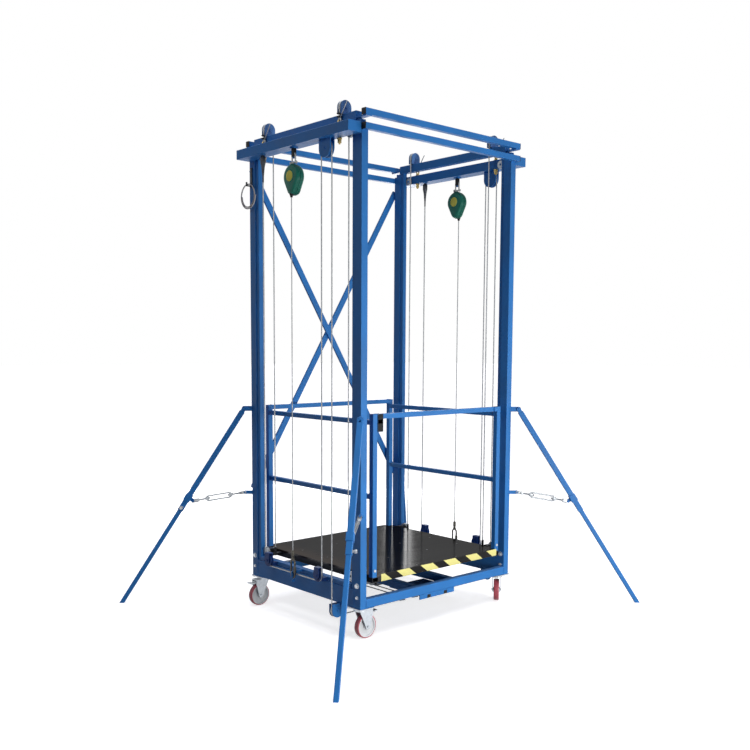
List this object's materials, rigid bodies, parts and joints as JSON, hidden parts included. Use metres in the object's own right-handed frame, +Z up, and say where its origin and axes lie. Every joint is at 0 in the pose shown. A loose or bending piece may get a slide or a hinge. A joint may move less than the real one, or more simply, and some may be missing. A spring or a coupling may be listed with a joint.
{
  "type": "electric lifting platform",
  "caption": "Wheeled four-post mast lift: a rope-hoisted inner mast carries a railed deck; telescoping outriggers with turnbuckles steady the tower.",
  "frame": {"origin": "on the floor, in the middle of the tower", "axes": "+Z up, -Y towards the entrance and its gate bar, +X to the right seen from the entrance"},
  "size_m": [2.3146, 1.9942, 2.6809],
  "materials": {
    "blue_paint": "satin",
    "deck_board": "semi-gloss",
    "zinc_steel": "satin",
    "sheave_steel": "satin",
    "galvanised_rope": "satin",
    "cotton_rope": "matt",
    "green_housing": "satin",
    "caster_wheel": "satin",
    "black_nylon": "satin",
    "motor_paint": "satin"
  },
  "bodies": {
    "frame": {"outer_posts": "blue_paint", "outer_top_beams": "blue_paint", "ties_and_braces": "blue_paint", "base_beams": "blue_paint", "winch_frame": "blue_paint", "fixed_blocks": "blue_paint", "fall_arresters": "green_housing", "rigging": "zinc_steel", "caster_plates": "zinc_steel", "winch_motor": "motor_paint", "rope_coil": "cotton_rope", "wire_ropes": "galvanised_rope"},
    "inner_mast": {"inner_posts": "blue_paint", "inner_beams": "blue_paint", "inner_tie_rails": "blue_paint", "mast_blocks": "blue_paint", "carriage_ropes": "galvanised_rope", "lanyard_hooks": "zinc_steel"},
    "carriage": {"deck_frame": "blue_paint", "deck_board": "deck_board", "guard_rails": "blue_paint"},
    "gate_bar": {"gate_bar": "blue_paint"},
    "winch_drum": {"winch_drum": "zinc_steel"},
    "base_sheave_left": {"base_sheave_left": "sheave_steel"},
    "base_sheave_right": {"base_sheave_right": "sheave_steel"},
    "turning_sheave_left": {"turning_sheave_left": "sheave_steel"},
    "turning_sheave_right": {"turning_sheave_right": "sheave_steel"},
    "snatch_sheaves": {"snatch_sheaves": "sheave_steel"},
    "lower_front_sheaves": {"lower_front_sheaves": "sheave_steel"},
    "lower_rear_sheaves": {"lower_rear_sheaves": "sheave_steel"},
    "left_head_sheaves": {"left_head_sheaves": "sheave_steel"},
    "right_head_sheaves": {"right_head_sheaves": "sheave_steel"},
    "front_mast_rollers": {"front_mast_rollers": "black_nylon"},
    "rear_mast_rollers": {"rear_mast_rollers": "black_nylon"},
    "front_carriage_rollers": {"front_carriage_rollers": "black_nylon"},
    "rear_carriage_rollers": {"rear_carriage_rollers": "black_nylon"},
    "caster_fork_fl": {"caster_fork_fl": "zinc_steel"},
    "caster_wheel_fl": {"caster_wheel_fl": "caster_wheel"},
    "brake_pedal_fl": {"brake_pedal_fl": "zinc_steel"},
    "outrigger_upper_fl": {"outrigger_upper_fl": "blue_paint"},
    "outrigger_lower_fl": {"outrigger_lower_fl": "blue_paint"},
    "turnbuckle_fl": {"turnbuckle_fl": "zinc_steel"},
    "caster_fork_fr": {"caster_fork_fr": "zinc_steel"},
    "caster_wheel_fr": {"caster_wheel_fr": "caster_wheel"},
    "brake_pedal_fr": {"brake_pedal_fr": "zinc_steel"},
    "outrigger_upper_fr": {"outrigger_upper_fr": "blue_paint"},
    "outrigger_lower_fr": {"outrigger_lower_fr": "blue_paint"},
    "turnbuckle_fr": {"turnbuckle_fr": "zinc_steel"},
    "caster_fork_rl": {"caster_fork_rl": "zinc_steel"},
    "caster_wheel_rl": {"caster_wheel_rl": "caster_wheel"},
    "brake_pedal_rl": {"brake_pedal_rl": "zinc_steel"},
    "outrigger_upper_rl": {"outrigger_upper_rl": "blue_paint"},
    "outrigger_lower_rl": {"outrigger_lower_rl": "blue_paint"},
    "turnbuckle_rl": {"turnbuckle_rl": "zinc_steel"},
    "caster_fork_rr": {"caster_fork_rr": "zinc_steel"},
    "caster_wheel_rr": {"caster_wheel_rr": "caster_wheel"},
    "brake_pedal_rr": {"brake_pedal_rr": "zinc_steel"},
    "outrigger_upper_rr": {"outrigger_upper_rr": "blue_paint"},
    "outrigger_lower_rr": {"outrigger_lower_rr": "blue_paint"},
    "turnbuckle_rr": {"turnbuckle_rr": "zinc_steel"}
  },
  "joints": [
    {"name": "mast_lift", "type": "slide", "parent": "frame", "child": "inner_mast", "axis": [0, 0, 1], "range_m": [0, 1.7], "deforming": ["wire_ropes"]},
    {"name": "carriage_lift", "type": "slide", "parent": "inner_mast", "child": "carriage", "axis": [0, 0, 1], "range_m": [0, 1.7], "deforming": ["carriage_ropes"]},
    {"name": "gate_lift", "type": "hinge", "parent": "carriage", "child": "gate_bar", "pos_m": [0.437, -0.455, 1.137], "axis": [0, 1, 0], "range_deg": [0, 90]},
    {"name": "drum_turn", "type": "hinge", "parent": "frame", "child": "winch_drum", "pos_m": [-0.055, 0.075, 0.129], "axis": [1, 0, 0], "continuous": true},
    {"name": "base_sheave_left_turn", "type": "hinge", "parent": "frame", "child": "base_sheave_left", "pos_m": [-0.582, -0.3, 0.134], "axis": [0, 1, 0], "continuous": true},
    {"name": "base_sheave_right_turn", "type": "hinge", "parent": "frame", "child": "base_sheave_right", "pos_m": [0.582, -0.3, 0.134], "axis": [0, 1, 0], "continuous": true},
    {"name": "turning_sheave_left_turn", "type": "hinge", "parent": "frame", "child": "turning_sheave_left", "pos_m": [-0.105, -0.275, 0.104], "axis": [0, 0, 1], "continuous": true},
    {"name": "turning_sheave_right_turn", "type": "hinge", "parent": "frame", "child": "turning_sheave_right", "pos_m": [-0.005, -0.275, 0.104], "axis": [0, 0, 1], "continuous": true},
    {"name": "snatch_sheaves_turn", "type": "hinge", "parent": "frame", "child": "snatch_sheaves", "pos_m": [0, -0.259, 2.454], "axis": [1, 0, 0], "continuous": true},
    {"name": "lower_front_sheaves_turn", "type": "hinge", "parent": "inner_mast", "child": "lower_front_sheaves", "pos_m": [0, -0.188, 0.3], "axis": [1, 0, 0], "continuous": true},
    {"name": "lower_rear_sheaves_turn", "type": "hinge", "parent": "inner_mast", "child": "lower_rear_sheaves", "pos_m": [0, 0.255, 0.3], "axis": [1, 0, 0], "continuous": true},
    {"name": "left_head_sheaves_turn", "type": "hinge", "parent": "inner_mast", "child": "left_head_sheaves", "pos_m": [-0.55, 0, 2.647], "axis": [0, 1, 0], "continuous": true},
    {"name": "right_head_sheaves_turn", "type": "hinge", "parent": "inner_mast", "child": "right_head_sheaves", "pos_m": [0.55, 0, 2.647], "axis": [0, 1, 0], "continuous": true},
    {"name": "front_mast_rollers_turn", "type": "hinge", "parent": "frame", "child": "front_mast_rollers", "pos_m": [0, -0.376, 2.515], "axis": [1, 0, 0], "continuous": true},
    {"name": "rear_mast_rollers_turn", "type": "hinge", "parent": "frame", "child": "rear_mast_rollers", "pos_m": [0, 0.376, 2.515], "axis": [1, 0, 0], "continuous": true},
    {"name": "front_carriage_rollers_turn", "type": "hinge", "parent": "carriage", "child": "front_carriage_rollers", "pos_m": [0, -0.3735, 0.32], "axis": [1, 0, 0], "continuous": true},
    {"name": "rear_carriage_rollers_turn", "type": "hinge", "parent": "carriage", "child": "rear_carriage_rollers", "pos_m": [0, 0.3735, 0.32], "axis": [1, 0, 0], "continuous": true},
    {"name": "front_left_caster_swivel", "type": "hinge", "parent": "frame", "child": "caster_fork_fl", "pos_m": [-0.528, -0.425, 0.156], "axis": [0, 0, 1], "continuous": true},
    {"name": "front_left_wheel_roll", "type": "hinge", "parent": "caster_fork_fl", "child": "caster_wheel_fl", "pos_m": [-0.493, -0.425, 0.0625], "axis": [0, 1, 0], "continuous": true},
    {"name": "front_left_brake_press", "type": "hinge", "parent": "caster_fork_fl", "child": "brake_pedal_fl", "pos_m": [-0.469, -0.425, 0.1345], "axis": [0, 1, 0], "range_deg": [0, 15]},
    {"name": "front_left_outrigger_swing", "type": "hinge", "parent": "frame", "child": "outrigger_upper_fl", "pos_m": [-0.6, -0.505, 1.132], "axis": [-0.6605, 0.7509, 0], "range_deg": [0, 135]},
    {"name": "front_left_outrigger_slide", "type": "slide", "parent": "outrigger_upper_fl", "child": "outrigger_lower_fl", "axis": [0.4026, 0.3542, 0.8441], "range_m": [0, 0.25]},
    {"name": "front_left_turnbuckle_swing", "type": "hinge", "parent": "frame", "child": "turnbuckle_fl", "pos_m": [-0.6, -0.505, 0.65], "axis": [0.6605, -0.7509, 0], "range_deg": [0, 84]},
    {"name": "front_right_caster_swivel", "type": "hinge", "parent": "frame", "child": "caster_fork_fr", "pos_m": [0.528, -0.425, 0.156], "axis": [0, 0, 1], "continuous": true},
    {"name": "front_right_wheel_roll", "type": "hinge", "parent": "caster_fork_fr", "child": "caster_wheel_fr", "pos_m": [0.55481, -0.4025, 0.0625], "axis": [-0.6428, 0.766, 0], "continuous": true},
    {"name": "front_right_brake_press", "type": "hinge", "parent": "caster_fork_fr", "child": "brake_pedal_fr", "pos_m": [0.5732, -0.38708, 0.1345], "axis": [-0.6428, 0.766, 0], "range_deg": [0, 15]},
    {"name": "front_right_outrigger_swing", "type": "hinge", "parent": "frame", "child": "outrigger_upper_fr", "pos_m": [0.6, -0.505, 1.132], "axis": [-0.6605, -0.7509, 0], "range_deg": [0, 135]},
    {"name": "front_right_outrigger_slide", "type": "slide", "parent": "outrigger_upper_fr", "child": "outrigger_lower_fr", "axis": [-0.4026, 0.3542, 0.8441], "range_m": [0, 0.25]},
    {"name": "front_right_turnbuckle_swing", "type": "hinge", "parent": "frame", "child": "turnbuckle_fr", "pos_m": [0.6, -0.505, 0.65], "axis": [0.6605, 0.7509, 0], "range_deg": [0, 84]},
    {"name": "rear_left_caster_swivel", "type": "hinge", "parent": "frame", "child": "caster_fork_rl", "pos_m": [-0.528, 0.425, 0.156], "axis": [0, 0, 1], "continuous": true},
    {"name": "rear_left_wheel_roll", "type": "hinge", "parent": "caster_fork_rl", "child": "caster_wheel_rl", "pos_m": [-0.563, 0.425, 0.0625], "axis": [0, -1, 0], "continuous": true},
    {"name": "rear_left_brake_press", "type": "hinge", "parent": "caster_fork_rl", "child": "brake_pedal_rl", "pos_m": [-0.587, 0.425, 0.1345], "axis": [0, -1, 0], "range_deg": [0, 15]},
    {"name": "rear_left_outrigger_swing", "type": "hinge", "parent": "frame", "child": "outrigger_upper_rl", "pos_m": [-0.6, 0.505, 1.132], "axis": [0.6605, 0.7509, 0], "range_deg": [0, 135]},
    {"name": "rear_left_outrigger_slide", "type": "slide", "parent": "outrigger_upper_rl", "child": "outrigger_lower_rl", "axis": [0.4026, -0.3542, 0.8441], "range_m": [0, 0.25]},
    {"name": "rear_left_turnbuckle_swing", "type": "hinge", "parent": "frame", "child": "turnbuckle_rl", "pos_m": [-0.6, 0.505, 0.65], "axis": [-0.6605, -0.7509, 0], "range_deg": [0, 84]},
    {"name": "rear_right_caster_swivel", "type": "hinge", "parent": "frame", "child": "caster_fork_rr", "pos_m": [0.528, 0.425, 0.156], "axis": [0, 0, 1], "continuous": true},
    {"name": "rear_right_wheel_roll", "type": "hinge", "parent": "caster_fork_rr", "child": "caster_wheel_rr", "pos_m": [0.528, 0.46, 0.0625], "axis": [-1, 0, 0], "continuous": true},
    {"name": "rear_right_brake_press", "type": "hinge", "parent": "caster_fork_rr", "child": "brake_pedal_rr", "pos_m": [0.528, 0.484, 0.1345], "axis": [-1, 0, 0], "range_deg": [0, 15]},
    {"name": "rear_right_outrigger_swing", "type": "hinge", "parent": "frame", "child": "outrigger_upper_rr", "pos_m": [0.6, 0.505, 1.132], "axis": [0.6605, -0.7509, 0], "range_deg": [0, 135]},
    {"name": "rear_right_outrigger_slide", "type": "slide", "parent": "outrigger_upper_rr", "child": "outrigger_lower_rr", "axis": [-0.4026, -0.3542, 0.8441], "range_m": [0, 0.25]},
    {"name": "rear_right_turnbuckle_swing", "type": "hinge", "parent": "frame", "child": "turnbuckle_rr", "pos_m": [0.6, 0.505, 0.65], "axis": [-0.6605, 0.7509, 0], "range_deg": [0, 84]}
  ],
  "couplings": [
    {"joint": "carriage_lift", "follows": "mast_lift", "ratio": 1},
    {"joint": "drum_turn", "follows": "mast_lift", "rad_per_m": 80},
    {"joint": "base_sheave_left_turn", "follows": "mast_lift", "rad_per_m": -66.667},
    {"joint": "base_sheave_right_turn", "follows": "mast_lift", "rad_per_m": 66.667},
    {"joint": "turning_sheave_left_turn", "follows": "mast_lift", "rad_per_m": 80},
    {"joint": "turning_sheave_right_turn", "follows": "mast_lift", "rad_per_m": -80},
    {"joint": "snatch_sheaves_turn", "follows": "mast_lift", "rad_per_m": 48.781},
    {"joint": "lower_front_sheaves_turn", "follows": "mast_lift", "rad_per_m": -33.333},
    {"joint": "lower_rear_sheaves_turn", "follows": "mast_lift", "rad_per_m": -33.333},
    {"joint": "left_head_sheaves_turn", "follows": "mast_lift", "rad_per_m": -33.333},
    {"joint": "right_head_sheaves_turn", "follows": "mast_lift", "rad_per_m": 33.333},
    {"joint": "front_mast_rollers_turn", "follows": "mast_lift", "rad_per_m": -44.444},
    {"joint": "rear_mast_rollers_turn", "follows": "mast_lift", "rad_per_m": 44.444},
    {"joint": "front_carriage_rollers_turn", "follows": "mast_lift", "rad_per_m": 40},
    {"joint": "rear_carriage_rollers_turn", "follows": "mast_lift", "rad_per_m": -40},
    {"joint": "front_left_turnbuckle_swing", "follows": "front_left_outrigger_swing", "ratio": 0.62},
    {"joint": "front_right_turnbuckle_swing", "follows": "front_right_outrigger_swing", "ratio": 0.62},
    {"joint": "rear_left_turnbuckle_swing", "follows": "rear_left_outrigger_swing", "ratio": 0.62},
    {"joint": "rear_right_turnbuckle_swing", "follows": "rear_right_outrigger_swing", "ratio": 0.62}
  ]
}
